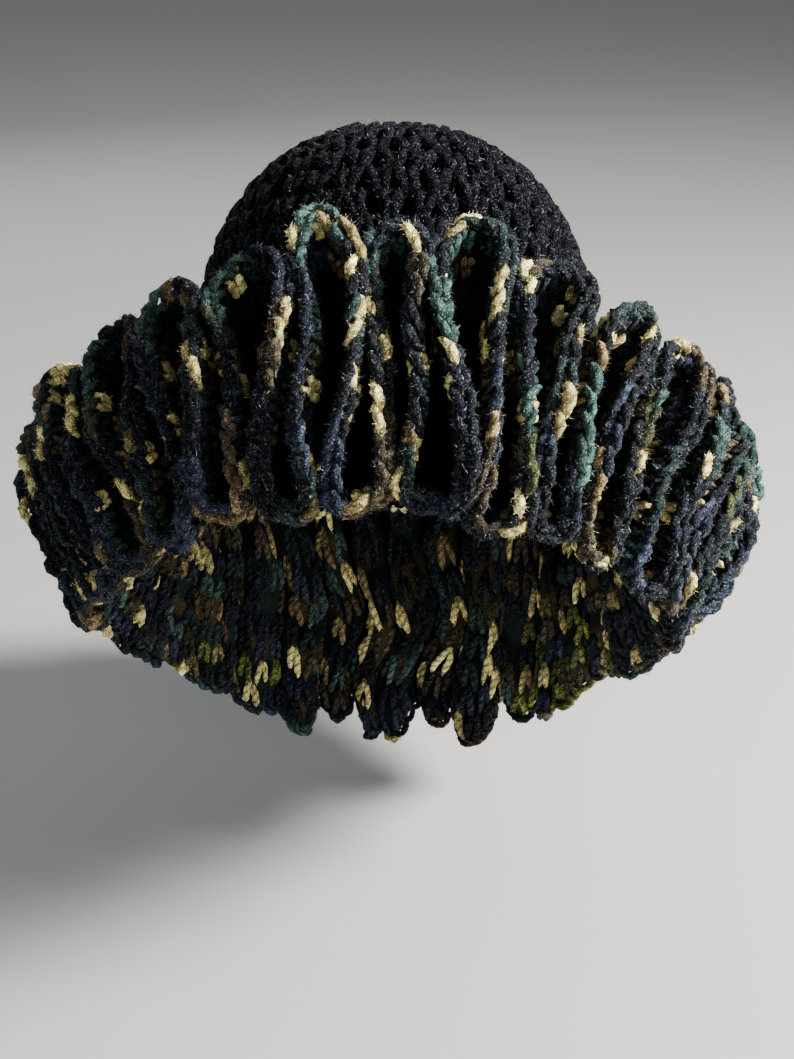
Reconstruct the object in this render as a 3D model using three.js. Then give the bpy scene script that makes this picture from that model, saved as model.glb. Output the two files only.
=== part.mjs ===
// A chunky crochet hat: a close round crown and one very full ruffle round its rim.
// Millimetres, +Z up, front towards -Y. The origin is the centre of the head opening.
// The hat keeps the pose in which it is worn: tilted back, with the ruffle standing up
// over the brow, falling at the sides and hanging at the nape.

import * as THREE from 'three';

// Driving dimensions
const TILT = 28;                  // degrees that the rim drops from brow to nape
const CROWN_HALF_WIDTH = 88;      // outside, side to side
const CROWN_HALF_DEPTH = 96;      // outside, brow to nape
const CROWN_HEIGHT = 149;         // from the rim line to the top, along the hat's own axis
const CROWN_WALL = 7;             // thickness of the chunky crochet fabric
const RIM_DROP = 4;               // band of the crown that shows below the ruffle's seam
const DOME_FULLNESS = 3.4;        // how long the side stays upright before it rounds over
const DOME_ROUNDNESS = 2.2;       // how evenly it then rounds over

const FOLDS = 34;                 // full waves of the ruffle round the rim
const SHEET = 4;                  // thickness of the ruffle's fabric
const SEAM_GAP = 0.35;            // between the ruffle's seam edge and the crown
const FOLD_GAP = 0.9;             // least space between neighbouring folds
const MAX_SWELL = 0.36;           // most that a fold swells at its closed end, in half waves
const TIGHTEST = 0.92;            // share of the mean spacing where the folds crowd most
const FOLD_ONSET = 0.4;           // share of the reach by which the folds are fully formed
const LEAN_ONSET = 0.95;          // how soon the folds lean, counted from the seam
const SWELL_ONSET = 3;            // how soon the closed ends swell, counted from the seam
const FOOT_LEAN = 0.5;            // lean of the lower folds, as a share of that of the upper ones
const MOST_TURN = 0.45;           // most of half a fan that one closed end takes up
const TRAVERSE = 0.7;             // share of half a wave that runs straight across the fan
const TIP_ROUNDING = 0.6;         // how far the rounded free edge stands out, in half thicknesses

// The ruffle's fan at azimuths counted from the front, mirrored left and right: the angles above
// level of its upper and lower folds, the reach of the sheet from the rim to its upper, middle
// and lower folds, and how far the upper folds lean back round the hat.
const FAN = [
  { azimuth: 0, top: 77, bottom: 7, reachTop: 98, reachMiddle: 86, reachBottom: 84, lean: 0 },
  { azimuth: 30, top: 60, bottom: -5, reachTop: 82, reachMiddle: 80, reachBottom: 78, lean: 13 },
  { azimuth: 60, top: 26, bottom: -40, reachTop: 62, reachMiddle: 68, reachBottom: 78, lean: 19 },
  { azimuth: 90, top: 2, bottom: -78, reachTop: 60, reachMiddle: 73, reachBottom: 94, lean: 16 },
  { azimuth: 135, top: -8, bottom: -92, reachTop: 72, reachMiddle: 84, reachBottom: 126, lean: 9 },
  { azimuth: 180, top: -18, bottom: -95, reachTop: 84, reachMiddle: 92, reachBottom: 126, lean: 0 },
];

// Unevenness: each row is a wave that runs a whole number of times round the hat. The first row
// of the spacing sets the folds closer at the front and further apart at the nape.
const UNEVEN_SPACING = [
  { times: 1, size: 1.5, phase: 0 },
  { times: 7, size: 0.08, phase: 2.5 },
  { times: 13, size: 0.05, phase: 0.2 },
  { times: 29, size: 0.03, phase: 0.4 },
];
const UNEVEN_HEIGHT = [
  { times: 13, size: 0.06, phase: 0.7 },
  { times: 31, size: 0.04, phase: 3 },
];
const UNEVEN_REACH = [
  { times: 9, size: 0.02, phase: 1.9 },
  { times: 17, size: 0.02, phase: 1.2 },
];

// Mesh resolution
const CROWN_SEGMENTS = 44;
const CROWN_ROWS = 12;
const POINTS_ON_TRAVERSE = 4;
const POINTS_ON_TURN = 2;
const RUFFLE_ROWS = [0, 0.12, 0.26, 0.6, 1];   // from the seam to the free edge

const SMALL = 0.01;               // step for slopes along and across the sheet
const HALF_WAVES = 2 * FOLDS;
const rad = THREE.MathUtils.degToRad;
const clamp = THREE.MathUtils.clamp;
const smooth = (x) => THREE.MathUtils.smoothstep(x, 0, 1);
const tilt = rad(TILT);

function sumOfWaves(rows, angle) {
  return rows.reduce((sum, row) => sum + row.size * Math.sin(row.times * angle + row.phase), 0);
}

// The fan's row at any azimuth: a smooth curve through the table, mirrored left and right.
function fanAt(azimuth) {
  const signed = THREE.MathUtils.euclideanModulo(azimuth + 180, 360) - 180;
  const side = Math.abs(signed);
  const last = FAN.length - 1;
  const index = Math.min(FAN.findLastIndex((row) => row.azimuth <= side), last - 1);
  const beyond = FAN[last - 1];
  const mirrored = [
    { ...FAN[1], azimuth: -FAN[1].azimuth, lean: -FAN[1].lean },
    ...FAN,
    { ...beyond, azimuth: 2 * FAN[last].azimuth - beyond.azimuth, lean: -beyond.lean },
  ];
  const [before, from, to, after] = mirrored.slice(index, index + 4);
  const width = to.azimuth - from.azimuth;
  const s = (side - from.azimuth) / width;
  const result = {};
  for (const key of ['top', 'bottom', 'reachTop', 'reachMiddle', 'reachBottom', 'lean']) {
    const slopeFrom = (to[key] - before[key]) / (to.azimuth - before.azimuth) * width;
    const slopeTo = (after[key] - from[key]) / (after.azimuth - from.azimuth) * width;
    result[key] = (2 * s ** 3 - 3 * s ** 2 + 1) * from[key] + (s ** 3 - 2 * s ** 2 + s) * slopeFrom
      + (3 * s ** 2 - 2 * s ** 3) * to[key] + (s ** 3 - s ** 2) * slopeTo;
  }
  result.lean *= Math.sign(signed);
  return result;
}

// The seam line of the ruffle on the outside of the crown, in the worn pose.
function rimPoint(azimuth) {
  const across = (CROWN_HALF_WIDTH + SEAM_GAP) * Math.sin(rad(azimuth));
  const along = -(CROWN_HALF_DEPTH + SEAM_GAP) * Math.cos(rad(azimuth));
  return new THREE.Vector3(across, along * Math.cos(tilt), -along * Math.sin(tilt));
}

// Where a place counted in half waves lies round the rim.
function rootAzimuth(place) {
  const round = 2 * Math.PI * place / HALF_WAVES;
  return (place + sumOfWaves(UNEVEN_SPACING, round)) * 360 / HALF_WAVES - 180;
}

// How far a point of the fan leans: k is 1 at its top and -1 at its foot, which leans the other way.
function leanShare(k) {
  const even = (1 + FOOT_LEAN) / 2;
  return k * (even + (1 - even) * k);
}

// The closed end of a fold, at a place counted in half waves: how far it swells along the rim, in
// half waves, and how much of the fan its round turn takes up. Neighbours nearly touch.
function foldEnd(place, side, v) {
  const azimuth = rootAzimuth(place);
  const step = rootAzimuth(place + 0.5) - rootAzimuth(place - 0.5);
  const fan = fanAt(azimuth);
  const leanGrowth = (fanAt(azimuth + 1).lean - fanAt(azimuth - 1).lean) / 2;
  const spread = smooth(LEAN_ONSET * v);
  const reach = Math.max(v, SMALL) * (side > 0 ? fan.reachTop : fan.reachBottom);
  const rise = rad(side > 0 ? fan.top : fan.bottom);
  const radius = (CROWN_HALF_WIDTH + CROWN_HALF_DEPTH) / 2 + reach * Math.cos(rise);
  const spacing = rad(step) * radius * (1 + leanShare(side) * leanGrowth * spread);
  const fanHeight = rad(fan.top - fan.bottom) / 2 * reach;
  const slant = Math.atan2(rad(Math.abs(fan.lean)) * spread * radius, fanHeight);
  const share = (SHEET + FOLD_GAP) / (TIGHTEST * spacing * Math.cos(slant));
  const swell = clamp((1 - share) / 2, 0, MAX_SWELL) * smooth(SWELL_ONSET * v);
  const turn = clamp((0.5 + swell) * spacing / fanHeight, 0, MOST_TURN);
  return { swell, turn };
}

// A point of the ruffle's middle surface: u counts half waves round the hat, v runs from the
// seam to the free edge. Each half wave crosses the fan and then turns back in a round fold.
function rufflePoint(u, v) {
  const half = Math.floor(u);
  const t = u - half;
  const direction = THREE.MathUtils.euclideanModulo(half, 2) === 0 ? 1 : -1;
  const start = foldEnd(half - 0.5, -direction, v);
  const end = foldEnd(half + 0.5, direction, v);
  const crossed = Math.min(t / TRAVERSE, 1);
  const lerp = THREE.MathUtils.lerp;
  let across = lerp(start.swell, -end.swell, crossed);
  let height = lerp(start.turn - 1, 1 - end.turn, crossed);
  if (t > TRAVERSE) {
    const angle = Math.PI * (t - TRAVERSE) / (1 - TRAVERSE);
    across = 0.5 - (0.5 + end.swell) * Math.cos(angle);
    height = (1 - end.turn) + end.turn * Math.sin(angle);
  }
  // Near the seam the sheet runs on evenly round the rim; the folds form further out.
  const folded = smooth(v / FOLD_ONSET);
  const place = half + (1 - folded) * t + folded * across;
  const round = 2 * Math.PI * place / HALF_WAVES;
  const root = rootAzimuth(place);
  const fan = fanAt(root);
  const k = direction * height * folded * (1 + sumOfWaves(UNEVEN_HEIGHT, round));
  const azimuth = root + fan.lean * leanShare(k) * smooth(LEAN_ONSET * v);
  const rise = rad((fan.top + fan.bottom) / 2 + k * (fan.top - fan.bottom) / 2);
  const endReach = k > 0 ? fan.reachTop : fan.reachBottom;
  const reach = v * (fan.reachMiddle + (endReach - fan.reachMiddle) * k * k)
    * (1 + sumOfWaves(UNEVEN_REACH, round));
  const outward = new THREE.Vector3(Math.sin(rad(azimuth)), -Math.cos(rad(azimuth)), 0);
  return rimPoint(azimuth)
    .addScaledVector(outward, reach * Math.cos(rise))
    .add(new THREE.Vector3(0, 0, reach * Math.sin(rise)));
}

// The direction across the sheet's thickness. At the seam it runs along the crown's wall.
function ruffleNormal(u, v) {
  if (v === 0) {
    return new THREE.Vector3(0, Math.sin(tilt), Math.cos(tilt));
  }
  const along = rufflePoint(u + SMALL, v).sub(rufflePoint(u - SMALL, v));
  const outward = rufflePoint(u, Math.min(v + SMALL, 1)).sub(rufflePoint(u, v - SMALL));
  return outward.cross(along).normalize();
}

// Gathers points and triangles into a geometry.
class MeshBuilder {
  constructor() {
    this.positions = [];
    this.indices = [];
  }

  point(p) {
    this.positions.push(p.x, p.y, p.z);
    return this.positions.length / 3 - 1;
  }

  quad(a, b, c, d) {
    this.indices.push(a, b, c, a, c, d);
  }

  // Joins two rings of the same length with a band of quads.
  band(ringA, ringB) {
    const n = ringA.length;
    for (let i = 0; i < n; i += 1) {
      const j = (i + 1) % n;
      this.quad(ringA[i], ringA[j], ringB[j], ringB[i]);
    }
  }

  fanTo(ring, apex) {
    const n = ring.length;
    for (let i = 0; i < n; i += 1) {
      this.indices.push(ring[i], ring[(i + 1) % n], apex);
    }
  }

  geometry() {
    const result = new THREE.BufferGeometry();
    result.setAttribute('position', new THREE.Float32BufferAttribute(this.positions, 3));
    result.setIndex(this.indices);
    result.computeVertexNormals();
    return result;
  }
}

// Places along one half wave at which the mesh has points.
function halfWaveStations() {
  const stations = [];
  for (let i = 0; i < POINTS_ON_TRAVERSE; i += 1) {
    stations.push(TRAVERSE * i / (POINTS_ON_TRAVERSE - 1));
  }
  for (let i = 1; i <= POINTS_ON_TURN; i += 1) {
    stations.push(TRAVERSE + (1 - TRAVERSE) * i / (POINTS_ON_TURN + 1));
  }
  return stations;
}

// The ruffle: one closed sheet that runs in folds all the way round the rim.
function ruffleGeometry() {
  const columns = [];
  for (let half = 0; half < HALF_WAVES; half += 1) {
    columns.push(...halfWaveStations().map((t) => half + t));
  }
  const mesh = new MeshBuilder();
  const sideRings = (side) => RUFFLE_ROWS.map((v) => columns.map((u) => {
    const offset = ruffleNormal(u, v).multiplyScalar(side * SHEET / 2);
    return mesh.point(rufflePoint(u, v).add(offset));
  }));
  const upper = sideRings(1);
  const lower = sideRings(-1);
  const ridge = columns.map((u) => {
    const edge = rufflePoint(u, 1);
    const outward = edge.clone().sub(rufflePoint(u, 1 - SMALL)).normalize();
    return mesh.point(edge.addScaledVector(outward, TIP_ROUNDING * SHEET / 2));
  });
  const last = RUFFLE_ROWS.length - 1;
  for (let row = 0; row < last; row += 1) {
    mesh.band(upper[row + 1], upper[row]);
    mesh.band(lower[row], lower[row + 1]);
  }
  mesh.band(ridge, upper[last]);
  mesh.band(lower[last], ridge);
  mesh.band(upper[0], lower[0]);
  return mesh.geometry();
}

// The crown: a hollow dome, open at the rim, with the wall as thick as the crochet fabric.
function crownGeometry() {
  const mesh = new MeshBuilder();
  const ring = (inset, rise, plan) => Array.from({ length: CROWN_SEGMENTS }, (_, i) => {
    const angle = 2 * Math.PI * i / CROWN_SEGMENTS;
    return mesh.point(new THREE.Vector3(
      (CROWN_HALF_WIDTH - inset) * plan * Math.sin(angle),
      -(CROWN_HALF_DEPTH - inset) * plan * Math.cos(angle),
      rise,
    ));
  });
  const shell = (inset) => {
    const height = CROWN_HEIGHT - inset;
    const rings = [ring(inset, -RIM_DROP, 1)];
    for (let row = 0; row < CROWN_ROWS; row += 1) {
      const share = Math.sin(Math.PI / 2 * row / CROWN_ROWS);
      const plan = (1 - share ** DOME_FULLNESS) ** (1 / DOME_ROUNDNESS);
      rings.push(ring(inset, height * share, plan));
    }
    const apex = mesh.point(new THREE.Vector3(0, 0, height));
    return { rings, apex };
  };
  const outside = shell(0);
  const inside = shell(CROWN_WALL);
  for (let row = 0; row + 1 < outside.rings.length; row += 1) {
    mesh.band(outside.rings[row], outside.rings[row + 1]);
    mesh.band(inside.rings[row + 1], inside.rings[row]);
  }
  mesh.fanTo(outside.rings.at(-1), outside.apex);
  mesh.fanTo([...inside.rings.at(-1)].reverse(), inside.apex);
  mesh.band(inside.rings[0], outside.rings[0]);
  return mesh.geometry();
}

// Yarn: matt, slightly fuzzy acrylic or wool.
const blackYarn = new THREE.MeshStandardMaterial({ color: 0x15151a, roughness: 0.95, metalness: 0 });
const mottledYarn = new THREE.MeshStandardMaterial({ color: 0x2c3028, roughness: 0.93, metalness: 0 });

const crown = new THREE.Mesh(crownGeometry(), blackYarn);
crown.name = 'crown';
crown.rotation.x = -tilt;

const ruffle = new THREE.Mesh(ruffleGeometry(), mottledYarn);
ruffle.name = 'ruffle_brim';

const hat = new THREE.Group();
hat.add(crown, ruffle);

export default hat;
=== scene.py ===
"""A chunky crochet hat: a close black crown and a very full ruffle in mottled yarn round its rim.

Metres, +Z up, front towards -Y. Lengths in the tables are in millimetres.
"""
import math

import bpy
import numpy as np
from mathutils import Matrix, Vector
from mathutils.kdtree import KDTree


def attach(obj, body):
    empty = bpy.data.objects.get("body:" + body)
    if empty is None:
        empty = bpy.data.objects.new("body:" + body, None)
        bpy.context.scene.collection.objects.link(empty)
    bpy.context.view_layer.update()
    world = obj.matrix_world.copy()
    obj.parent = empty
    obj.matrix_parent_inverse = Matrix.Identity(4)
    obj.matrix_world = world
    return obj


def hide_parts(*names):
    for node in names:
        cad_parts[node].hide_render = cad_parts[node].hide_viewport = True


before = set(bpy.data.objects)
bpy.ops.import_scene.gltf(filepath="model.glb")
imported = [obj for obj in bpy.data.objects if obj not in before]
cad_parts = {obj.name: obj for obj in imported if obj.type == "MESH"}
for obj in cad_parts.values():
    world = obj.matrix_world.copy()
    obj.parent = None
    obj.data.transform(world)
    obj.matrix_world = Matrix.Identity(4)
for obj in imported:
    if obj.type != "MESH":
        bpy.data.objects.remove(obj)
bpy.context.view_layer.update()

MM = 0.001
rng = np.random.default_rng(11)

# Camera
PHOTO_LONG_SIDE = 1059
FOCAL_PX = 1550
EYE_DISTANCE = 0.618
EYE_HEIGHT = 0.251
EYE_AZIMUTH = math.radians(2.5)
EYE_PITCH = math.radians(24)
AIM_OFFSET_PX = 4

camera_data = bpy.data.cameras.new("camera")
camera_data.sensor_width = 36
camera_data.lens = FOCAL_PX / PHOTO_LONG_SIDE * camera_data.sensor_width
camera_data.shift_x = AIM_OFFSET_PX / PHOTO_LONG_SIDE
camera_data.clip_start = 0.05
camera_data.clip_end = 50
camera = bpy.data.objects.new("camera", camera_data)
camera.location = (EYE_DISTANCE * math.sin(EYE_AZIMUTH),
                   -EYE_DISTANCE * math.cos(EYE_AZIMUTH), EYE_HEIGHT)
look = Vector((-math.sin(EYE_AZIMUTH) * math.cos(EYE_PITCH),
               math.cos(EYE_AZIMUTH) * math.cos(EYE_PITCH), -math.sin(EYE_PITCH)))
camera.rotation_euler = look.to_track_quat("-Z", "Y").to_euler()
bpy.context.scene.collection.objects.link(camera)
bpy.context.scene.camera = camera

# The hat's form, as in its solids
TILT = math.radians(28)
CROWN_HALF_WIDTH = 88
CROWN_HALF_DEPTH = 96
CROWN_HEIGHT = 149
CROWN_WALL = 7
RIM_DROP = 4
DOME_FULLNESS = 3.4
DOME_ROUNDNESS = 2.2

FOLDS = 34
SHEET = 4
SEAM_GAP = 0.35
FOLD_GAP = 0.9
MAX_SWELL = 0.36
TIGHTEST = 0.92
FOLD_ONSET = 0.4
LEAN_ONSET = 0.95
SWELL_ONSET = 3
FOOT_LEAN = 0.5
MOST_TURN = 0.45
TRAVERSE = 0.7
SMALL = 0.01
HALF_WAVES = 2 * FOLDS

# The ruffle's fan: azimuth, top, bottom, reach at the top, middle and bottom, lean
FAN = np.array([
    (0, 77, 7, 98, 86, 84, 0),
    (30, 60, -5, 82, 80, 78, 13),
    (60, 26, -40, 62, 68, 78, 19),
    (90, 2, -78, 60, 73, 94, 16),
    (135, -8, -92, 72, 84, 126, 9),
    (180, -18, -95, 84, 92, 126, 0),
], float)
# Unevenness: times round the hat, size, phase
UNEVEN_SPACING = ((1, 1.5, 0), (7, 0.08, 2.5), (13, 0.05, 0.2), (29, 0.03, 0.4))
UNEVEN_HEIGHT = ((13, 0.06, 0.7), (31, 0.04, 3))
UNEVEN_REACH = ((9, 0.02, 1.9), (17, 0.02, 1.2))
# Wobble of the hand-made fabric near its free edge: times round the hat, millimetres, phase
WOBBLE_ACROSS = ((41, 0.5, 0.4), (59, 0.5, 2.1), (97, 0.4, 4.4), (173, 0.35, 1.3))
WOBBLE_OUT = ((37, 1.2, 1.1), (71, 1.2, 3.4), (127, 0.9, 0.2), (211, 0.7, 2.6))
WOBBLE_FROM = 0.3        # v at which it begins
# Sway that neighbouring folds share: times round the hat, waves up the fan, turn on the way out,
# millimetres, phase
SWAY = (
    (5, 2.1, 1.5, 2.4, 0.3),
    (8, -3.3, 2.5, 1.6, 2.2),
    (13, 4.9, -2.0, 0.8, 4.1),
    (3, 0.8, 3.0, 1.6, 5.2),
)
SWAY_ONSET = 1.6
# A bow on the way out that the folds at the nape share, so that no gap between them runs straight
NAPE_BOW = 7
NAPE_BOW_WAVES = 1.4
NAPE_FROM = math.radians(142)
NAPE_WHOLE = math.radians(164)
SEAM_TUCK = 5            # the ground reaches in to the crown's wall
SEAM_TUCK_SHARE = 0.04
EDGE_ROOM = 0.95         # the sheet stops short of the solid's edge, where the chain lies


def waves(rows, angle):
    return sum(size * np.sin(times * angle + phase) for times, size, phase in rows)


def smooth(x):
    x = np.clip(x, 0, 1)
    return x * x * (3 - 2 * x)


def unit(a):
    return a / np.maximum(np.linalg.norm(a, axis=-1, keepdims=True), 1e-9)


def fan_at(azimuth):
    """The fan's columns after the azimuth, at each of the azimuths, by a smooth curve."""
    signed = (azimuth + 180) % 360 - 180
    side = np.abs(signed)
    first, last = FAN[1].copy(), FAN[-2].copy()
    first[[0, 6]] *= -1
    last[0] = 2 * FAN[-1, 0] - last[0]
    last[6] *= -1
    rows = np.vstack([first, FAN, last])
    index = np.clip(np.searchsorted(FAN[:, 0], side, side="right") - 1, 0, len(FAN) - 2)
    before, start, end, after = (rows[index + i] for i in range(4))
    width = (end[:, 0] - start[:, 0])[:, None]
    s = (side - start[:, 0])[:, None] / width
    slope_start = (end - before) / (end[:, :1] - before[:, :1]) * width
    slope_end = (after - start) / (after[:, :1] - start[:, :1]) * width
    row = ((2 * s**3 - 3 * s**2 + 1) * start + (s**3 - 2 * s**2 + s) * slope_start
           + (3 * s**2 - 2 * s**3) * end + (s**3 - s**2) * slope_end)
    row[:, 6] *= np.sign(signed)
    return row[:, 1:].T


def root_azimuth(place):
    """Degrees round the hat at which a place, counted in half waves, leaves the seam."""
    turn = 2 * math.pi * place / HALF_WAVES
    return (place + waves(UNEVEN_SPACING, turn)) * 360 / HALF_WAVES - 180


def lean_share(k):
    """Share of a fold's lean at height k: -1 at its foot, 1 at its top, less at the foot."""
    even = (1 + FOOT_LEAN) / 2
    return k * (even + (1 - even) * k)


def fold_end(place, side, v):
    """How far a fold swells at its closed end, and how much of the fan its turn takes up."""
    azimuth = root_azimuth(place)
    step = root_azimuth(place + 0.5) - root_azimuth(place - 0.5)
    top, bottom, reach_top, _, reach_bottom, lean = fan_at(azimuth)
    growth = (fan_at(azimuth + 1)[5] - fan_at(azimuth - 1)[5]) / 2
    spread = smooth(LEAN_ONSET * v)
    reach = EDGE_ROOM * np.maximum(v, SMALL) * np.where(side > 0, reach_top, reach_bottom)
    rise = np.radians(np.where(side > 0, top, bottom))
    radius = (CROWN_HALF_WIDTH + CROWN_HALF_DEPTH) / 2 + reach * np.cos(rise)
    spacing = np.radians(step) * radius * (1 + lean_share(side) * growth * spread)
    height = np.radians(top - bottom) / 2 * reach
    slant = np.arctan2(np.radians(np.abs(lean)) * spread * radius, height)
    share = (SHEET + FOLD_GAP) / (TIGHTEST * spacing * np.cos(slant))
    swell = np.clip((1 - share) / 2, 0, MAX_SWELL) * smooth(SWELL_ONSET * v)
    return swell, np.clip((0.5 + swell) * spacing / height, 0, MOST_TURN)


def plain_point(u, v):
    """Points of the ruffle's middle surface: u counts half waves, v runs from seam to free edge."""
    half = np.floor(u)
    t = u - half
    direction = np.where(half % 2 == 0, 1.0, -1.0)
    swell_a, turn_a = fold_end(half - 0.5, -direction, v)
    swell_b, turn_b = fold_end(half + 0.5, direction, v)
    crossed = np.minimum(t / TRAVERSE, 1)
    angle = math.pi * (t - TRAVERSE) / (1 - TRAVERSE)
    turning = t > TRAVERSE
    across = np.where(turning, 0.5 - (0.5 + swell_b) * np.cos(angle),
                      swell_a + (-swell_b - swell_a) * crossed)
    height = np.where(turning, (1 - turn_b) + turn_b * np.sin(angle),
                      (turn_a - 1) + (2 - turn_b - turn_a) * crossed)
    folded = smooth(v / FOLD_ONSET)
    place = half + (1 - folded) * t + folded * across
    turn = 2 * math.pi * place / HALF_WAVES
    root = root_azimuth(place)
    top, bottom, reach_top, reach_middle, reach_bottom, lean = fan_at(root)
    k = direction * height * folded * (1 + waves(UNEVEN_HEIGHT, turn))
    azimuth = np.radians(root + lean * lean_share(k) * smooth(LEAN_ONSET * v))
    rise = np.radians((top + bottom) / 2 + k * (top - bottom) / 2)
    end_reach = np.where(k > 0, reach_top, reach_bottom)
    reach = (EDGE_ROOM * v * (reach_middle + (end_reach - reach_middle) * k * k)
             * (1 + waves(UNEVEN_REACH, turn)))
    radius = (CROWN_HALF_WIDTH + CROWN_HALF_DEPTH) / 2 + reach * np.cos(rise)
    sway = sum(size * np.sin(times * azimuth + up * k + out * v + phase)
               for times, up, out, size, phase in SWAY)
    from_front = np.abs((azimuth + math.pi) % (2 * math.pi) - math.pi)
    nape = smooth((from_front - NAPE_FROM) / (NAPE_WHOLE - NAPE_FROM))
    sway = sway + NAPE_BOW * nape * np.sin(2 * math.pi * NAPE_BOW_WAVES * v)
    azimuth = azimuth + smooth(SWAY_ONSET * v) * sway / radius
    tuck = SEAM_GAP - SEAM_TUCK * (1 - smooth(v / SEAM_TUCK_SHARE))
    x = (CROWN_HALF_WIDTH + tuck) * np.sin(azimuth)
    along = -(CROWN_HALF_DEPTH + tuck) * np.cos(azimuth)
    return np.stack([x + np.sin(azimuth) * reach * np.cos(rise),
                     along * math.cos(TILT) - np.cos(azimuth) * reach * np.cos(rise),
                     -along * math.sin(TILT) + reach * np.sin(rise)], axis=-1)


def ruffle_frame(u, v):
    """Points of the fabric and the directions along, out of and across the sheet there."""
    u = np.asarray(u, float) % HALF_WAVES
    v = np.asarray(v, float)
    inner = np.clip(v, SMALL, 1)
    along = unit(plain_point((u + SMALL) % HALF_WAVES, inner)
                 - plain_point((u - SMALL) % HALF_WAVES, inner))
    out = plain_point(u, np.minimum(inner + SMALL, 1)) - plain_point(u, inner - SMALL)
    out = unit(out - along * (out * along).sum(-1, keepdims=True))
    across = np.cross(out, along)
    turn = 2 * math.pi * u / HALF_WAVES
    shown = smooth((v - WOBBLE_FROM) / (1 - WOBBLE_FROM))[..., None]
    point = plain_point(u, np.clip(v, 0, 1)) + shown * (
        across * waves(WOBBLE_ACROSS, turn)[..., None]
        + out * waves(WOBBLE_OUT, turn)[..., None])
    return point, along, out, across


def crown_point(azimuth, share, inset):
    """Points of the dome: azimuth in degrees, share of its height from the rim line."""
    plan = (1 - np.clip(share, 0, 1) ** DOME_FULLNESS) ** (1 / DOME_ROUNDNESS)
    x = (CROWN_HALF_WIDTH - inset) * plan * np.sin(np.radians(azimuth))
    y = -(CROWN_HALF_DEPTH - inset) * plan * np.cos(np.radians(azimuth))
    z = (CROWN_HEIGHT - inset) * share
    c, s = math.cos(TILT), math.sin(TILT)
    return np.stack([x, y * c + z * s, -y * s + z * c], axis=-1)


# Mesh helpers
SIDES = 6                # corners of a strand's section
PLY_SWELL = 0.11         # how far the two plies bulge
FLATTEN = 0.88
PLY_TWIST = 0.5          # radians from one section to the next
CELL_MARGIN = 0.08       # of a UV cell
LUMPS = 0.17             # unevenness of a strand's surface, in millimetres
BLOTCHES = 0.22          # unevenness of its dye
STRAND_VARIETY = 0.3     # unevenness of the dye from strand to strand
FIBRE_WIDTH = 0.11
FIBRE_ROOT = 0.9         # share of the strand's radius at which a fibre starts
FIBRE_REACH = (0.8, 2.3)
FIBRE_REACH_POWER = 1.2
FIBRE_ALONG = 0.9        # how far fibres turn along the strand, and any way
FIBRE_STRAY = 0.45
FIBRE_BELOW = 0.2        # radians past the sides of the strand
LOOSE_FIBRE_HIGHLIGHT_GAIN = 1.4         # painted highlight: loose fibres brighter than the strand's own colour
# painted highlight: the most pale blue-grey added to a loose fibre, a random share of it
LOOSE_FIBRE_HIGHLIGHT_TINT = np.array((0.34, 0.375, 0.44))
FIBRE_CELL = np.array([(0.2, 0.2), (0.8, 0.2), (0.5, 0.9)])


def new_piece(name, points, faces, material, colours=None, uv=None, ply=None, replaced=()):
    """A mesh object from arrays: points in millimetres, faces of one size, a UV for each corner."""
    corners = faces.shape[1]
    mesh = bpy.data.meshes.new(name)
    mesh.vertices.add(len(points))
    mesh.vertices.foreach_set("co", (np.asarray(points, float) * MM).ravel())
    mesh.loops.add(faces.size)
    mesh.loops.foreach_set("vertex_index", faces.astype(np.int32).ravel())
    mesh.polygons.add(len(faces))
    mesh.polygons.foreach_set("loop_start", np.arange(0, faces.size, corners, dtype=np.int32))
    mesh.polygons.foreach_set("use_smooth", np.ones(len(faces), bool))
    mesh.update(calc_edges=True)
    for title, values in (("OFBake", uv), ("ply", ply)):
        if values is not None:
            mesh.uv_layers.new(name=title).data.foreach_set("uv", values.ravel())
    if colours is not None:
        rgba = np.ones((len(points), 4))
        rgba[:, :3] = np.clip(colours, 0, 1)
        dye = mesh.color_attributes.new("yarn", "FLOAT_COLOR", "POINT")
        dye.data.foreach_set("color", rgba.ravel())
    mesh.validate()
    mesh.materials.append(material)
    piece = bpy.data.objects.new(name, mesh)
    bpy.context.scene.collection.objects.link(piece)
    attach(piece, "root")
    if replaced:
        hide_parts(*replaced)
    return piece


def cell_of(count):
    """The lower left corner of a square cell for each of a number of strands, and their rows."""
    rows = math.ceil(math.sqrt(count))
    return np.stack([np.arange(count) % rows, np.arange(count) // rows], -1), rows


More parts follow.
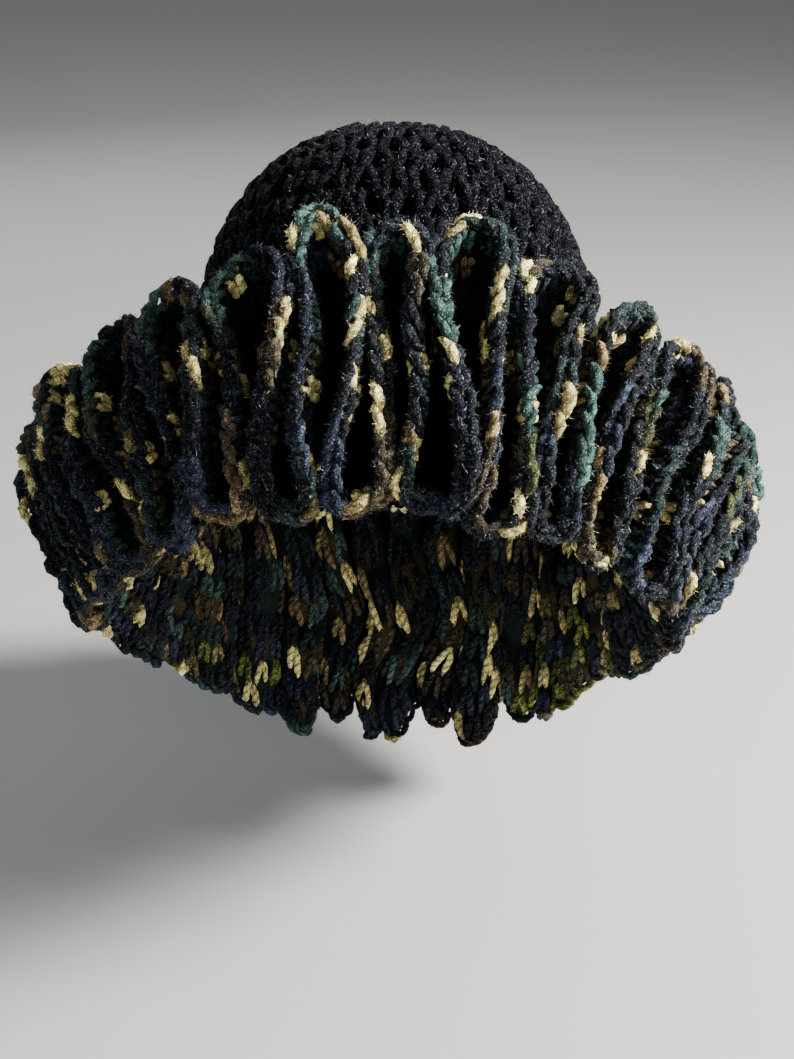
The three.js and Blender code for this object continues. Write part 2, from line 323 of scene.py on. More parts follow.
def strands_piece(name, strands, material):
    """One joined mesh of yarn strands. strands holds lines, radii, up directions and colours."""
    lines, radii, up, colours = (np.concatenate(part) for part in zip(*strands))
    n, m, _ = lines.shape
    tangent = unit(np.gradient(lines, axis=1))
    side = unit(np.cross(tangent, up))
    up = np.cross(side, tangent)
    angle = 2 * math.pi * np.arange(SIDES) / SIDES
    turned = angle[None, None, :] + PLY_TWIST * np.arange(m)[None, :, None]
    ring = (np.cos(turned)[..., None] * side[:, :, None]
            + FLATTEN * np.sin(turned)[..., None] * up[:, :, None])
    swell = 1 + PLY_SWELL * np.cos(2 * angle)
    points = lines[:, :, None] + ring * (radii[:, :, None] * swell)[..., None]
    points = points + LUMPS * rng.standard_normal(points.shape)

    first = (np.arange(n) * m * SIDES)[:, None, None]
    row = np.arange(m - 1)[None, :, None] * SIDES
    col = np.arange(SIDES)[None, None, :]
    following = (col + 1) % SIDES
    body = np.stack([first + row + col, first + row + following,
                     first + row + SIDES + following, first + row + SIDES + col], axis=-1)
    # two quads close each end's six corners
    start = first[:, 0]
    end = start + (m - 1) * SIDES
    caps = np.concatenate([start + (0, 5, 2, 1), start + (5, 4, 3, 2),
                           end + (0, 1, 2, 5), end + (2, 3, 4, 5)])

    cell, rows = cell_of(n)
    a = np.arange(m) / (m - 1)
    b = np.arange(SIDES + 1) / SIDES
    corner_a = np.stack([a[:-1], a[:-1], a[1:], a[1:]], -1)[:, None]
    corner_b = np.stack([b[:-1], b[1:], b[1:], b[:-1]], -1)[None]
    corner = np.stack(np.broadcast_arrays(corner_a, corner_b), -1).reshape(1, -1, 4, 2)
    uv = (cell[:, None, None] + CELL_MARGIN + (1 - 2 * CELL_MARGIN) * corner) / rows
    square = np.array([(0, 0), (1, 0), (1, 1), (0, 1)]) * CELL_MARGIN / 3 + CELL_MARGIN / 4
    cap_uv = np.tile((cell[:, None] + square) / rows, (4, 1, 1))

    # the ply map: millimetres along the strand, and share of the way round it
    step = np.linalg.norm(np.diff(lines, axis=1), axis=-1)
    length = np.concatenate([np.zeros((n, 1)), np.cumsum(step, axis=1)], 1)
    along = np.stack([length[:, :-1], length[:, :-1], length[:, 1:], length[:, 1:]], -1)
    ply = np.stack(np.broadcast_arrays(along[:, :, None], corner_b[None]), -1).reshape(-1, 4, 2)

    blotch = np.exp(BLOTCHES * rng.standard_normal((n * m * SIDES, 1)))
    tone = np.repeat(colours, m * SIDES, axis=0) * blotch
    faces = np.concatenate([body.reshape(-1, 4), caps])
    return new_piece(name, points.reshape(-1, 3), faces, material, tone,
                     np.concatenate([uv.reshape(-1, 4, 2), cap_uv]),
                     np.concatenate([ply, np.zeros((len(caps), 4, 2))]))


def fuzz_piece(name, strands, per_strand, material):
    """Loose fibres that stand off the yarn, each a thin pointed blade, brighter than its strand as
    a painted highlight.
    """
    lines, radii, up, colours = (np.concatenate(part) for part in zip(*strands))
    n, m, _ = lines.shape
    which = np.repeat(np.arange(n), per_strand)
    count = len(which)
    at = rng.uniform(0.5, m - 1.5, count)
    low = np.floor(at).astype(int)
    share = (at - low)[:, None]
    middle = lines[which, low] * (1 - share) + lines[which, low + 1] * share
    tangent = unit(lines[which, low + 1] - lines[which, low])
    raised = up[which, low]
    side = unit(np.cross(tangent, raised))
    raised = np.cross(side, tangent)
    angle = rng.uniform(-FIBRE_BELOW, math.pi + FIBRE_BELOW, count)[:, None]
    radial = side * np.cos(angle) + raised * np.sin(angle)
    root = middle + radial * (radii[which, low] * FIBRE_ROOT)[:, None]
    heading = unit(radial + FIBRE_ALONG * tangent * rng.standard_normal((count, 1))
                   + FIBRE_STRAY * rng.standard_normal((count, 3)))
    reach = rng.uniform(*FIBRE_REACH, count)[:, None] ** FIBRE_REACH_POWER
    wide = unit(np.cross(heading, rng.standard_normal((count, 3)))) * FIBRE_WIDTH / 2
    points = np.stack([root - wide, root + wide, root + heading * reach], 1)
    faces = (np.arange(count) * 3)[:, None] + (0, 1, 2)
    cell, rows = cell_of(count)
    uv = (cell[:, None] + FIBRE_CELL) / rows
    # painted highlight: each fibre brighter than its strand, with a random amount of pale blue-grey
    # on top
    pale = LOOSE_FIBRE_HIGHLIGHT_TINT * rng.random((count, 1)) ** 3
    tone = np.repeat(np.clip(colours[which] * LOOSE_FIBRE_HIGHLIGHT_GAIN + pale, 0, 1), 3, axis=0)
    return new_piece(name, points.reshape(-1, 3), faces, material, tone, uv)


# Yarn colours
YARN = {
    "black": (0.0014, 0.0014, 0.0019),
    "navy": (0.0028, 0.0036, 0.0076),
    "slate": (0.0140, 0.0180, 0.0300),
    "green": (0.0070, 0.0150, 0.0120),
    "teal": (0.0280, 0.0600, 0.0480),
    "moss": (0.0300, 0.0340, 0.0090),
    "brown": (0.0410, 0.0290, 0.0130),
    "tan": (0.1800, 0.1360, 0.0540),
    "cream": (0.6400, 0.5400, 0.2050),
}
DYE_VARIETY = 0.15
BRIGHT = 0.1             # least value of a bright stitch
# Olive stitches: where they begin below the rim line and out to the sides, and their shares
OLIVE = (0.150, 0.172, 0.030)
OLIVE_FROM = 68
OLIVE_FADE = 38
OLIVE_OUT_FROM = 40
OLIVE_OUT_FADE = 60
OLIVE_LEFT = 0.85
OLIVE_RIGHT = 0.4
# The mottled yarn in its own order: colour and how many stitches it lasts, least and most
STRETCHES = (
    ("navy", 2, 4), ("cream", 1, 1), ("teal", 2, 3), ("tan", 1, 1), ("black", 2, 3),
    ("cream", 1, 1), ("green", 2, 4), ("cream", 1, 1), ("black", 2, 4), ("slate", 2, 3),
    ("tan", 1, 1), ("brown", 2, 3), ("cream", 1, 1), ("black", 2, 4), ("cream", 1, 1),
    ("moss", 1, 2), ("teal", 2, 3), ("navy", 2, 4), ("cream", 1, 1), ("brown", 2, 3),
    ("black", 3, 5), ("tan", 1, 1), ("green", 2, 3), ("cream", 1, 1), ("slate", 2, 3),
    ("black", 2, 4),
)


def yarn_run(count):
    """A colour for each of a run of stitches, in the yarn's own order."""
    run = []
    index = int(rng.integers(len(STRETCHES)))
    while len(run) < count:
        name, least, most = STRETCHES[index % len(STRETCHES)]
        run += [YARN[name]] * int(rng.integers(least, most + 1))
        index += 1
    return np.array(run[:count]) * (1 + DYE_VARIETY * rng.standard_normal((count, 1)))


def with_olive(colours, points):
    """Olive stitches low down on the sides, most on the wearer's left; bright stitches stay."""
    x, z = points[:, 0], points[:, 2]
    low = smooth((-z - OLIVE_FROM) / OLIVE_FADE)
    share = low * (OLIVE_LEFT * smooth((x - OLIVE_OUT_FROM) / OLIVE_OUT_FADE)
                   + OLIVE_RIGHT * smooth((-x - OLIVE_OUT_FROM) / OLIVE_OUT_FADE))
    dyed = (rng.random(len(colours)) < share) & (colours.max(1) < BRIGHT)
    tone = np.array(OLIVE) * rng.uniform(0.2, 1, (len(colours), 1))
    return np.where(dyed[:, None], tone, colours)


# Materials
def add(tree, kind, **settings):
    node = tree.nodes.new(kind)
    for key, value in settings.items():
        setattr(node, key, value)
    return node


def set_inputs(node, **values):
    for key, value in values.items():
        node.inputs[key.replace("_", " ")].default_value = value
    return node


# Sockets of a mix node that mixes colours
MIX_FIRST = 6
MIX_SECOND = 7
MIX_RESULT = 2
SHEEN_TINT = (0.75, 0.86, 1.0, 1)
# Noise scales, to a metre
SPECKLE_SCALE = 1700
PATCH_SCALE = 170
# painted glints: sparse paler specks added to the yarn's colour
SPARK_SCALE = 1900
SPARK_FADE = 0.07
# The plies: turns to a millimetre, plies, width of the groove between them
PLY_TURNS = 0.26
PLIES = 2
GROOVE = 0.34
# Fibres: noise to a millimetre along the plies and across them, shift from patch to patch
FIBRE_SLOW = 0.55
FIBRE_FAST = 9
FIBRE_SHIFT = 40
FIBRE_SHARE = 0.6        # against the speckle's share
FIBRE_RELIEF = 1.2
FIBRE_HIGHLIGHT_GAIN = (3, 3, 3, 1)     # painted highlight: fibres against the yarn's core


def plug(tree, node, index, value):
    """Links a socket to a node's input, or sets the input to a number or a colour."""
    if isinstance(value, bpy.types.NodeSocket):
        tree.links.new(value, node.inputs[index])
    else:
        node.inputs[index].default_value = value


def maths(tree, operation, *values):
    node = add(tree, "ShaderNodeMath", operation=operation)
    for index, value in enumerate(values):
        plug(tree, node, index, value)
    return node.outputs[0]


def noise(tree, vector, **values):
    node = set_inputs(add(tree, "ShaderNodeTexNoise"), **values)
    tree.links.new(vector, node.inputs["Vector"])
    return node.outputs["Fac"]


def mapped(tree, value, kind="LINEAR", **limits):
    node = set_inputs(add(tree, "ShaderNodeMapRange", interpolation_type=kind), **limits)
    tree.links.new(value, node.inputs["Value"])
    return node.outputs["Result"]


def mix(tree, blend, factor, first, second):
    node = add(tree, "ShaderNodeMix", data_type="RGBA", blend_type=blend)
    plug(tree, node, "Factor", factor)
    plug(tree, node, MIX_FIRST, first)
    plug(tree, node, MIX_SECOND, second)
    return node.outputs[MIX_RESULT]


def ply_fibres(tree, speckle, patch, shade, groove_shade_strength):
    """Fibre pattern, shade and relief of yarn wound from plies, with shade painted into the grooves
    between the plies.
    """
    winding = add(tree, "ShaderNodeUVMap", uv_map="ply")
    split = add(tree, "ShaderNodeSeparateXYZ")
    tree.links.new(winding.outputs[0], split.inputs[0])
    along, around = split.outputs["X"], split.outputs["Y"]
    turns = maths(tree, "MULTIPLY_ADD", around, PLIES, maths(tree, "MULTIPLY", along, PLY_TURNS))
    groove = mapped(tree, maths(tree, "PINGPONG", turns, 0.5), "SMOOTHSTEP",
                    From_Min=0, From_Max=GROOVE)
    # painted shade: the colour darkens in the grooves between the plies
    groove_shade = mapped(tree, groove, To_Min=1 - groove_shade_strength, To_Max=1)
    # noise drawn out along the plies
    course = add(tree, "ShaderNodeCombineXYZ")
    for index, (value, factor) in enumerate(((along, FIBRE_SLOW), (turns, FIBRE_FAST),
                                             (patch, FIBRE_SHIFT))):
        tree.links.new(maths(tree, "MULTIPLY", value, factor), course.inputs[index])
    drawn = noise(tree, course.outputs[0], Scale=1.1, Detail=3, Roughness=0.7)
    fibre = maths(tree, "MULTIPLY_ADD", drawn, FIBRE_SHARE,
                  maths(tree, "MULTIPLY", speckle, 1 - FIBRE_SHARE))
    relief = maths(tree, "MULTIPLY_ADD", fibre, FIBRE_RELIEF, groove)
    return fibre, maths(tree, "MULTIPLY", shade, groove_shade), relief


def yarn_material(name, fibre_highlight_tint, painted_glint_tint, groove_shade_strength, gloss=0.13, sheen=0.035, sparse=0.59,
                  wound=True):
    """Matt, fuzzy yarn: its colour from the strand, with paler fibres laid along the wound plies as
    painted highlight, painted glints, and shade painted into the grooves between the plies.
    """
    material = bpy.data.materials.new(name)
    material.use_nodes = True
    tree = material.node_tree
    tree.nodes.clear()
    output = add(tree, "ShaderNodeOutputMaterial")
    shader = set_inputs(add(tree, "ShaderNodeBsdfPrincipled"), Roughness=0.55, Sheen_Weight=sheen,
                        Sheen_Roughness=0.3, Sheen_Tint=SHEEN_TINT, Specular_IOR_Level=gloss)
    tree.links.new(shader.outputs[0], output.inputs[0])
    colour = add(tree, "ShaderNodeAttribute", attribute_name="yarn").outputs["Color"]
    place = add(tree, "ShaderNodeTexCoord").outputs["Object"]
    speckle = noise(tree, place, Scale=SPECKLE_SCALE, Detail=2, Roughness=0.7)
    patch = noise(tree, place, Scale=PATCH_SCALE, Detail=2)
    shade = mapped(tree, patch, From_Min=0.3, From_Max=0.7, To_Min=0.6, To_Max=1.3)
    fibre, relief = speckle, speckle
    if wound:
        fibre, shade, relief = ply_fibres(tree, speckle, patch, shade, groove_shade_strength)
    # painted highlight: fibres drawn paler than the yarn's core, each in the yarn's own hue
    lit = mapped(tree, fibre, From_Min=0.51, From_Max=0.68, To_Min=0, To_Max=1)
    scaled = mix(tree, "MULTIPLY", 1, colour, FIBRE_HIGHLIGHT_GAIN)
    pale = mix(tree, "ADD", 1, scaled, (*fibre_highlight_tint, 1))
    shaded = mix(tree, "MULTIPLY", 1, mix(tree, "MIX", lit, colour, pale), shade)
    # painted glints: single fibres that catch the light, added to the colour in the yarn's hue
    spark = noise(tree, place, Scale=SPARK_SCALE, Detail=1, Roughness=0.6)
    few = mapped(tree, spark, From_Min=sparse, From_Max=sparse + SPARK_FADE, To_Min=0, To_Max=1)
    glint = mix(tree, "ADD", few, shaded, mix(tree, "ADD", 1, scaled, (*painted_glint_tint, 1)))
    tree.links.new(glint, shader.inputs["Base Color"])
    bump = set_inputs(add(tree, "ShaderNodeBump"), Strength=0.9, Distance=0.0011)
    tree.links.new(relief, bump.inputs["Height"])
    tree.links.new(bump.outputs[0], shader.inputs["Normal"])
    return material


# tints of the painted fibre highlights and the painted glints, then the strength of the shade
# painted into the ply grooves
mottled = yarn_material("mottled_yarn", (0.003, 0.0035, 0.005), (0.085, 0.098, 0.125), 0.65,
                        gloss=0.07)
black = yarn_material("black_yarn", (0.001, 0.001, 0.0018), (0.095, 0.095, 0.125), 0.7,
                      gloss=0.025, sheen=0.01, sparse=0.615)
mottled_ground = yarn_material("mottled_ground", (0.002, 0.002, 0.003), (0.02, 0.02, 0.024), 0,
                               gloss=0.04, wound=False)
black_ground = yarn_material("black_ground", (0.001, 0.001, 0.0015), (0.01, 0.01, 0.012), 0,
                             gloss=0.03, wound=False)
mottled_fibre = yarn_material("mottled_fibre", (0.014, 0.015, 0.018), (0.05, 0.055, 0.06), 0,
                              wound=False)
black_fibre = yarn_material("black_fibre", (0.009, 0.009, 0.012), (0.04, 0.04, 0.05), 0,
                            wound=False)

# The ruffle's ground fabric
STATIONS = 14
GROUND_ROWS = 24
GROUND_THICKNESS = 3.2
GROUND_RELIEF = 0.3
ROWS = 9
EDGE_DIP = 0.012
SEAM_START = 0.004       # v of the ground's first row
STRETCHES_A_HALF_WAVE = 2.5
GROUND_COLOURS = ("black", "navy", "green", "black", "brown")
GROUND_TONE = 0.7


def ruffle_ground():
    """The ruffle's inner sheet, closed, with its rows of stitches in low relief."""
    columns = np.arange(HALF_WAVES * STATIONS) / STATIONS
    rows = np.linspace(0, 1, GROUND_ROWS)
    rows[0] = SEAM_START
    uu, vv = np.meshgrid(columns, rows)
    point, along, out, across = ruffle_frame(uu.ravel(), vv.ravel() * (1 - EDGE_DIP))
    relief = np.sin(2 * math.pi * vv.ravel() * ROWS)
    half = (GROUND_THICKNESS / 2 + GROUND_RELIEF * relief)[:, None]
    n, m = len(columns), len(rows)
    grid = np.arange(n * m).reshape(m, n)
    following = np.roll(grid, -1, axis=1)
    upper = np.stack([grid[:-1], grid[1:], following[1:], following[:-1]], -1).reshape(-1, 4)
    lower = upper[:, (0, 3, 2, 1)] + n * m
    edge = np.stack([grid[-1], grid[-1] + n * m, following[-1] + n * m, following[-1]], -1)
    seam = np.stack([grid[0], following[0], following[0] + n * m, grid[0] + n * m], -1)
    faces = np.concatenate([upper, lower, edge, seam])
    # each half wave of each side has its own cell
    cell, cells = cell_of(2 * HALF_WAVES)
    column = np.tile(np.arange(n), m - 1)
    row = np.repeat(np.arange(m - 1), n)
    half_wave, station = column // STATIONS, column % STATIONS
    x = np.stack([station, station, station + 1, station + 1], -1) / STATIONS
    y = np.stack([row, row + 1, row + 1, row], -1) / (m - 1)
    inside = CELL_MARGIN + (1 - 2 * CELL_MARGIN) * np.stack([x, y], -1)
    uv_upper = (cell[half_wave][:, None] + inside) / cells
    uv_lower = (cell[half_wave + HALF_WAVES][:, None] + inside[:, (0, 3, 2, 1)]) / cells
    strip = np.arange(n)
    near = CELL_MARGIN / 4
    xs = np.stack([strip % STATIONS] * 2 + [strip % STATIONS + 1] * 2, -1) / STATIONS
    ys = np.tile((near, near * 2, near * 2, near), (n, 1))
    ribbon = np.stack([CELL_MARGIN + (1 - 2 * CELL_MARGIN) * xs, ys], -1)
    uv_edge = (cell[strip // STATIONS][:, None] + ribbon) / cells
    uv_seam = (cell[strip // STATIONS + HALF_WAVES][:, None] + ribbon) / cells
    band = np.floor(vv.ravel() * ROWS).astype(int)
    stretch = np.floor(uu.ravel() * STRETCHES_A_HALF_WAVE).astype(int)
    stretches = int(HALF_WAVES * STRETCHES_A_HALF_WAVE) + 2
    pick = rng.integers(0, len(GROUND_COLOURS), (ROWS + 1, stretches))[band, stretch]
    tones = np.array([YARN[name] for name in GROUND_COLOURS]) * GROUND_TONE
    tone = np.tile(tones[pick], (2, 1))
    points = np.concatenate([point + across * half, point - across * half])
    return new_piece("ruffle_ground", points, faces, mottled_ground, tone,
                     np.concatenate([uv_upper, uv_lower, uv_edge, uv_seam]),
                     replaced=("ruffle_brim",))


# The ruffle's stitches
PITCH = 8.2
HALF_BRIGHT = 0.4        # share of bright stitches' legs that are dark, so one shows alone
LEG_SHIFT = 0.45         # share of legs that take the next stitch's colour
# How the chain rolls to either side: radians, and times round the hat with their phases
ROLL = 1.5
ROLL_TIMES = (37, 23)
ROLL_PHASES = (0.6, 2)
FINE_ROLL = 0.5
FINE_ROLL_TIMES = 91
EDGE_SIZES = 0.09        # unevenness of the edge's stitches
EDGE_SETTLE = 0.6        # how far the chain sits down on the sheet
# One leg of a stitch on the free edge: along, across, outwards, radius
EDGE_LEG = np.array([
    (-0.6, 0.5, 0.4, 1.0),
    (1.0, 1.1, 1.8, 1.55),
    (3.2, 1.8, 2.1, 1.85),
    (5.6, 2.2, 1.6, 1.95),
    (7.8, 2.1, 0.7, 1.8),
    (9.4, 1.5, -0.4, 1.45),
    (10.4, 0.8, -1.7, 0.9),
])
# One leg of a stitch on the faces: along, up the row as a share of its height, off the sheet,
# radius
FACE_LEG = np.array([
    (0.5, -0.10, 0.6, 1.1),
    (1.5, 0.32, 1.8, 1.8),
    (2.4, 0.74, 1.8, 1.8),
    (2.7, 1.06, 0.4, 1.0),
])
FACE_PITCH = 9.0
NEIGHBOUR_SAMPLES = 14
NEIGHBOUR_ROWS = 16
NEIGHBOUR_FROM = 0.08
NEAREST = 60             # sheet points looked at for the next layer
LAYER_APART = 0.22       # half waves between a point and the next layer
LAYER_AHEAD = 0.5        # least share of the distance that lies straight ahead
FULL_THICKNESS = 4.2
LEAST_SIZE = 0.42
FACE_SIZES = 0.07        # unevenness of the faces' stitches
THIN_SHARE = 0.4         # of a leg's radius, kept however little room there is
BEND_STEP = 0.02
LEAST_BEND = 0.02
TURN_MARGIN = 0.12       # share of a half wave, next to a fold's turn
LOOSENESS = 0.3


def arc_table(v, samples):
    """Lengths along the ruffle at one v, and the u of each."""
    u = np.arange(HALF_WAVES * samples + 1) / samples
    point, *_ = ruffle_frame(u, np.full(len(u), float(v)))
    return np.concatenate([[0], np.cumsum(np.linalg.norm(np.diff(point, axis=0), axis=1))]), u


def jitter(count):
    return LOOSENESS * rng.standard_normal(count)


def edge_strands():
    """Two legs for each stitch of the chain along the free edge, which rolls to either side."""
    length, us = arc_table(1, 96)
    count = round(length[-1] / PITCH)
    starts = np.arange(count) * length[-1] / count
    places = ruffle_frame(np.interp(starts, length, us), np.ones(count))[0]
    colours = with_olive(yarn_run(count), places)
    turn = 2 * math.pi * starts / length[-1]
    first, second = (np.sin(times * turn + phase) for times, phase in zip(ROLL_TIMES, ROLL_PHASES))
    roll = ROLL * first * second + FINE_ROLL * np.sin(FINE_ROLL_TIMES * turn)
    size = 1 + EDGE_SIZES * rng.standard_normal(count)
    strands = []
    for hand in (1, -1):
        line, radius, ups = [], [], []
        for a, b, c, r in EDGE_LEG:
            u = np.interp((starts + a + jitter(count)) % length[-1], length, us)
            point, along, out, across = ruffle_frame(u, np.ones(count))
            ca, sa = np.cos(roll)[:, None], np.sin(roll)[:, None]
            wide, up = across * ca + out * sa, out * ca - across * sa
            line.append(point + (hand * b * size + jitter(count))[:, None] * wide
                        + ((c - EDGE_SETTLE) * size + jitter(count))[:, None] * up)
            radius.append(r * size)
            ups.append(up)
        shifted = np.where(rng.random((count, 1)) < LEG_SHIFT,
                           np.roll(colours, hand, axis=0), colours)
        bright = (shifted.max(1) > BRIGHT) & (rng.random(count) < HALF_BRIGHT)
        shifted[bright] = np.roll(colours, 2, axis=0)[bright]
        strands.append((np.stack(line, 1), np.stack(radius, 1), np.stack(ups, 1),
                        shifted * np.exp(STRAND_VARIETY * rng.standard_normal((count, 1)))))
    return strands


def neighbour_tree():
    """Points of the sheet in a search tree, with the u of each."""
    columns = np.arange(HALF_WAVES * NEIGHBOUR_SAMPLES) / NEIGHBOUR_SAMPLES
    rows = np.linspace(NEIGHBOUR_FROM, 1, NEIGHBOUR_ROWS)
    uu, vv = (a.ravel() for a in np.meshgrid(columns, rows))
    points, *_ = ruffle_frame(uu, vv)
    tree = KDTree(len(points))
    for i, point in enumerate(points):
        tree.insert(point, i)
    tree.balance()
    return tree, points, uu


def room_for(neighbours, points, u, facing):
    """Half the distance from each point to the next layer of fabric, on the side it faces."""
    tree, sheet_points, sheet_u = neighbours
    result = np.full(len(points), 99.0)
    for i, point in enumerate(points):
        near = tree.find_n(point, NEAREST)
        index = np.fromiter((n[1] for n in near), int)
        distance = np.fromiter((n[2] for n in near), float)
        apart = np.abs((sheet_u[index] - u[i] + HALF_WAVES / 2) % HALF_WAVES - HALF_WAVES / 2)
        ahead = ((sheet_points[index] - point) * facing[i]).sum(1)
        found = (apart > LAYER_APART) & (ahead > LAYER_AHEAD * distance)
        if found.any():
            result[i] = distance[found].min() / 2
    return result


def face_strands(neighbours, row):
    """Two legs for each stitch of one row, on both sides, where the folds let them be seen."""
    v = (row + 0.5) / ROWS
    length, us = arc_table(v, 48)
    count = round(length[-1] / FACE_PITCH)
    starts = (np.arange(count) + 0.5 * (row % 2)) * length[-1] / count
    u = np.interp(starts, length, us)
    point, along, out, across = ruffle_frame(u, np.full(count, v))
    colours = with_olive(yarn_run(count), point)
    after, before = (ruffle_frame(u + step, np.full(count, v))[1]
                     for step in (BEND_STEP, -BEND_STEP))
    bend = ((after - before) * across).sum(1)
    t = u % 1
    turning = (t > TRAVERSE - TURN_MARGIN) | (t < TURN_MARGIN)
    strands = []
    for side in (1, -1):
        keep = np.full(count, True)
        if 0 < row < ROWS - 2:
            keep = turning & (side * bend < -LEAST_BEND)
        room = room_for(neighbours, point[keep], u[keep], side * across[keep])
        kept = len(room)
        size = (np.clip(room / FULL_THICKNESS, LEAST_SIZE, 1)
                * (1 + FACE_SIZES * rng.standard_normal(kept)))
        for hand in (1, -1):
            line, radius, ups = [], [], []
            for a, h, b, r in FACE_LEG:
                place = (starts[keep] + hand * a + jitter(kept)) % length[-1]
                uu = np.interp(place, length, us)
                vv = np.full(kept, np.clip(v + (h - 0.5) / ROWS, SMALL, 1))
                p, _, _, normal = ruffle_frame(uu, vv)
                line.append(p + side * normal * (b * size)[:, None])
                radius.append(r * (THIN_SHARE + (1 - THIN_SHARE) * size))
                ups.append(side * normal)
            variety = np.exp(STRAND_VARIETY * rng.standard_normal((kept, 1)))
            strands.append((np.stack(line, 1), np.stack(radius, 1), np.stack(ups, 1),
                            colours[keep] * variety))
    return strands


# The crown's fabric
CROWN_GROUND_INSET = 4.4
CROWN_STRAND_INSET = 2.8
CROWN_ROUND = 11.5
CROWN_PITCH = 12.6
CROWN_EVEN_SHARE = 0.72  # up to this share of its height every round has the same count
CROWN_EVEN_COUNT = 44
CROWN_SEGMENTS = 96
CROWN_GROUND_ROWS = 44
CROWN_TOP = 0.9995
RIB = 0.5
RIB_TIMES = 52
RIB_END = 0.97
CROWN_GROUND_TONE = 0.6
CROWN_TONE = 0.5
CROWN_SIZES = 0.11       # unevenness of the clusters
CROWN_LEAN = 0.16
CROWN_THIN_SHARE = 0.6   # of a strand's radius, kept where the clusters are squeezed
# One post of a cluster and the chain over it: along the round, up, outwards, radius
CROWN_POST = np.array([
    (0.8, -2.4, -0.6, 1.7),
    (1.5, 1.6, 1.1, 2.5),
    (2.6, 5.4, 1.8, 2.8),
    (3.8, 9.2, 1.3, 2.5),
    (4.9, 12.6, -0.6, 1.7),
])
CROWN_CHAIN = np.array([
    (-5.6, 9.6, -1.6, 1.2),
    (-2.9, 10.4, -0.4, 1.6),
    (0.2, 10.7, 0.0, 1.8),
    (3.1, 10.4, -0.4, 1.6),
    (5.8, 9.6, -1.7, 1.2),
])


def crown_ground():
    """The crown's closed wall, open at the rim, ribbed on the inside as the rounds run."""
    azimuth = np.arange(CROWN_SEGMENTS) * 360 / CROWN_SEGMENTS
    shares = np.concatenate([[-RIM_DROP / CROWN_HEIGHT],
                             np.sin(np.linspace(0, 0.5, CROWN_GROUND_ROWS) * math.pi)[:-1],
                             [CROWN_TOP]])
    aa, ss = (a.ravel() for a in np.meshgrid(azimuth, shares))
    outside = crown_point(aa, ss, CROWN_GROUND_INSET)
    rib = (RIB * np.sin(ss * RIB_TIMES) * np.sin(np.radians(aa) * CROWN_EVEN_COUNT / 2)
           * (ss < RIB_END))
    inside = crown_point(aa, ss, CROWN_WALL + rib)
    n, m = CROWN_SEGMENTS, len(shares)
    grid = np.arange(n * m).reshape(m, n)
    following = np.roll(grid, -1, axis=1)
    outer = np.stack([grid[:-1], following[:-1], following[1:], grid[1:]], -1).reshape(-1, 4)
    inner = outer[:, (0, 3, 2, 1)] + n * m
    rim = np.stack([grid[0], grid[0] + n * m, following[0] + n * m, following[0]], -1)
    column = np.tile(np.arange(n), m - 1)
    row = np.repeat(np.arange(m - 1), n)
    x = np.stack([column, column + 1, column + 1, column], -1) / n
    y = np.stack([row, row, row + 1, row + 1], -1) / (m - 1)
    # the outside takes the lower half of the UV square, the inside the upper, the rim a strip
    uv = np.stack([x, 0.02 + 0.46 * y], -1)
    strip = np.arange(n)
    xs = np.stack([strip, strip, strip + 1, strip + 1], -1) / n
    uv_rim = np.stack([xs, np.tile((0.985, 0.995, 0.995, 0.985), (n, 1))], -1)
    tone = np.tile(np.array(YARN["black"]) * CROWN_GROUND_TONE, (2 * n * m, 1))
    return new_piece("crown_ground", np.concatenate([outside, inside]),
                     np.concatenate([outer, inner, rim]), black_ground, tone,
                     np.concatenate([uv, (uv + (0, 0.49))[:, (0, 3, 2, 1)], uv_rim]),
                     replaced=("crown",))


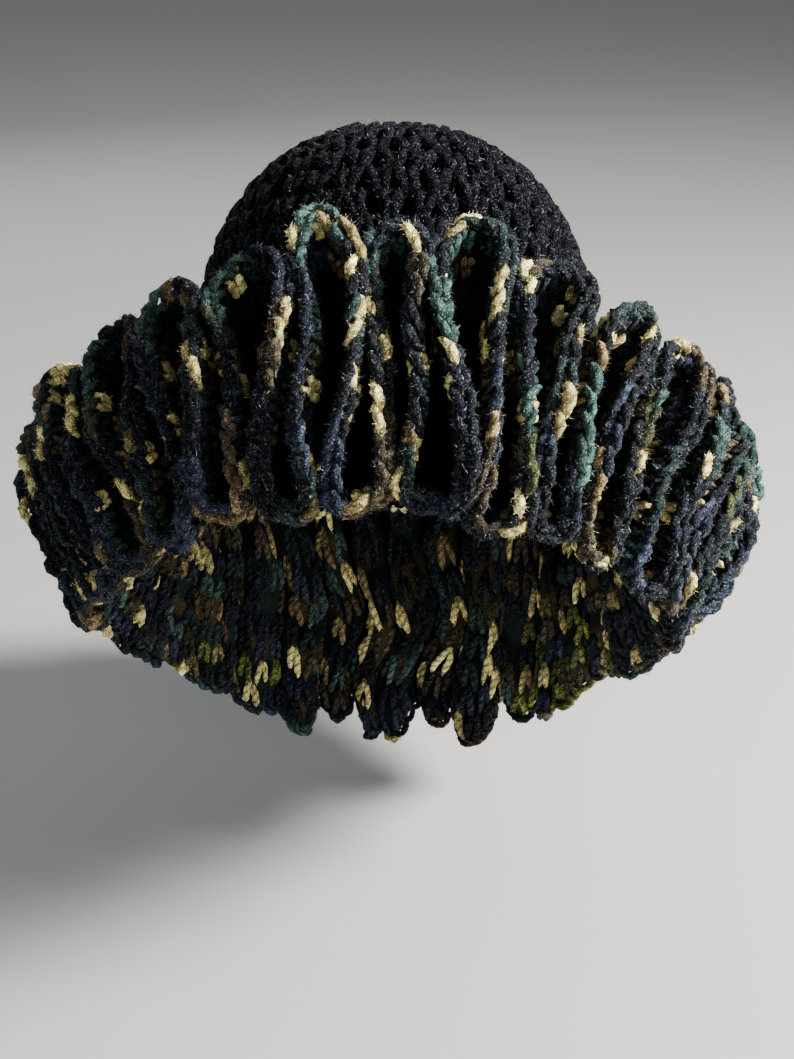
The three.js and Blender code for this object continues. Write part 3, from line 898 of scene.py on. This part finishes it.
def crown_strands():
    """Clusters of two thick leaning posts under a short chain, with a gap beside each."""
    dense = np.concatenate([np.linspace(-RIM_DROP / CROWN_HEIGHT, 0.9, 200),
                            1 - 0.1 * np.linspace(1, 0, 200)[1:] ** 2])
    profile = crown_point(np.zeros(len(dense)), dense, CROWN_STRAND_INSET)
    length = np.concatenate([[0], np.cumsum(np.linalg.norm(np.diff(profile, axis=0), axis=1))])
    rounds = int(length[-1] // CROWN_ROUND)
    step = length[-1] / rounds
    strands = []
    for index in range(rounds):
        base = index * step
        share = np.interp(base + step / 2, length, dense)
        ring = crown_point(np.linspace(0, 360, 181), np.full(181, share), CROWN_STRAND_INSET)
        girth = np.linalg.norm(np.diff(ring, axis=0), axis=1).sum()
        count = CROWN_EVEN_COUNT
        if share >= CROWN_EVEN_SHARE:
            count = max(5, round(girth / CROWN_PITCH))
        places = (np.arange(count) + 0.5 * (index % 2)) * 360 / count
        places = places + 0.5 * rng.standard_normal(count)
        degrees = 360 / girth
        squeeze = min(1, girth / count / CROWN_PITCH)
        size = 1 + CROWN_SIZES * rng.standard_normal(count)
        tone = np.array(YARN["black"]) * CROWN_TONE
        lean = CROWN_LEAN * rng.standard_normal(count)
        shapes = [CROWN_POST * (hand, 1, 1, 1) for hand in (1, -1)] + [CROWN_CHAIN]
        for shape in shapes:
            line, radius, ups = [], [], []
            for a, h, b, r in shape:
                azimuth = places + (a * squeeze + lean * h + jitter(count)) * degrees
                up = np.interp(np.full(count, base + h * step / CROWN_ROUND), length, dense)
                p = crown_point(azimuth, up, CROWN_STRAND_INSET)
                east = crown_point(azimuth + 0.5, up, CROWN_STRAND_INSET) - p
                high = np.minimum(up + 0.002, 1)
                north = (crown_point(azimuth, high, CROWN_STRAND_INSET)
                         - crown_point(azimuth, high - 0.004, CROWN_STRAND_INSET))
                normal = unit(np.cross(east, north))
                line.append(p + normal * (b + 0.5 * jitter(count))[:, None])
                radius.append(r * size * (CROWN_THIN_SHARE + (1 - CROWN_THIN_SHARE) * squeeze))
                ups.append(normal)
            strands.append((np.stack(line, 1), np.stack(radius, 1), np.stack(ups, 1),
                            tone * np.exp(STRAND_VARIETY * rng.standard_normal((count, 1)))))
    return strands


# Fibres to a strand
EDGE_FIBRES = 50
ROW_FIBRES = 6
CROWN_FIBRES = 26

ground = ruffle_ground()
edge = edge_strands()
on_ruffle = [strands_piece("ruffle_edge_stitches", edge, mottled)]
neighbours = neighbour_tree()
outer_row = face_strands(neighbours, ROWS - 1)
on_ruffle.append(strands_piece("ruffle_outer_row", outer_row, mottled))
second_row = face_strands(neighbours, ROWS - 2)
on_ruffle.append(strands_piece("ruffle_second_row", second_row, mottled))
inner_rows = [strand for row in range(ROWS - 2) for strand in face_strands(neighbours, row)]
on_ruffle.append(strands_piece("ruffle_inner_rows", inner_rows, mottled))
crown_ground()
crown = crown_strands()
strands_piece("crown_stitches", crown, black)
on_ruffle.append(fuzz_piece("ruffle_fuzz", edge, EDGE_FIBRES, mottled_fibre))
on_ruffle.append(fuzz_piece("ruffle_row_fuzz", outer_row, ROW_FIBRES, mottled_fibre))
crown_posts = [s for s in crown if s[0].shape[1] == len(CROWN_POST)]
fuzz_piece("crown_fuzz", crown_posts, CROWN_FIBRES, black_fibre)

# Floor and light
FLOOR = -0.198
FLOOR_HALF = 8
floor_mesh = bpy.data.meshes.new("floor")
floor_corners = [(x * FLOOR_HALF, y * FLOOR_HALF, FLOOR)
                 for x, y in ((-1, -1), (1, -1), (1, 1), (-1, 1))]
floor_mesh.from_pydata(floor_corners, [], [(0, 1, 2, 3)])
floor = bpy.data.objects.new("floor", floor_mesh)
bpy.context.scene.collection.objects.link(floor)
pale = bpy.data.materials.new("pale_floor")
pale.use_nodes = True
pale.node_tree.nodes["Principled BSDF"].inputs["Base Color"].default_value = (0.44, 0.437, 0.43, 1)
pale.node_tree.nodes["Principled BSDF"].inputs["Roughness"].default_value = 0.8
floor_mesh.materials.append(pale)

# name, place, size, power, colour
LIGHTS = (
    ("key", (1.25, -0.2, 0.8), 0.35, 118, (1.0, 0.985, 0.95)),
    ("fill", (-0.9, -1.2, 0.8), 1.2, 3, (0.90, 0.95, 1.0)),
    ("front", (0.7, -1.4, 0.7), 0.9, 5, (1.0, 0.99, 0.97)),
    ("back", (-0.7, 1.4, 0.9), 1.2, 9, (0.95, 0.97, 1.0)),
)
for name, place, size, power, colour in LIGHTS:
    data = bpy.data.lights.new(name, "AREA")
    data.size = size
    data.energy = power
    data.color = colour
    lamp = bpy.data.objects.new(name, data)
    lamp.location = place
    lamp.rotation_euler = (-Vector(place)).to_track_quat("-Z", "Y").to_euler()
    bpy.context.scene.collection.objects.link(lamp)
world = bpy.data.worlds.new("studio")
world.use_nodes = True
world.node_tree.nodes["Background"].inputs["Color"].default_value = (0.92, 0.94, 0.97, 1)
world.node_tree.nodes["Background"].inputs["Strength"].default_value = 0.26
bpy.context.scene.world = world
